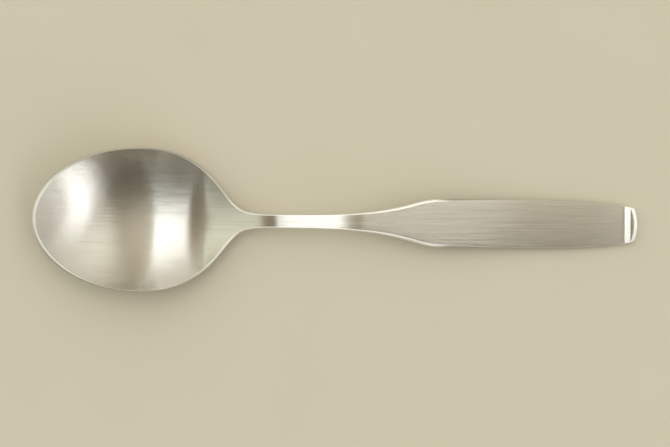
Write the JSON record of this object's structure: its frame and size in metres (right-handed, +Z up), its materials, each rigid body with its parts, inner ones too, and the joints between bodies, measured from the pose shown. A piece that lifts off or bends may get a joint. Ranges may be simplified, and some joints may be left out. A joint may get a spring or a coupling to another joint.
{
  "type": "coffee spoon",
  "caption": "One-piece coffee spoon of satin-brushed stainless steel: egg-shaped bowl, thin raised stem, flat blade handle with a small upturned lip at its end.",
  "frame": {"origin": "centre of the spoon's length and width, on the table that it lies on", "axes": "+X from the bowl to the end of the handle, +Y across to the spoon's left side seen from the bowl, +Z up out of the bowl"},
  "size_m": [0.14, 0.033, 0.0094],
  "materials": {
    "satin_steel": "satin, brushed lengthwise, with a slightly smoother rounded edge"
  },
  "bodies": {
    "root": {"coffee_spoon": "satin_steel"}
  },
  "joints": []
}
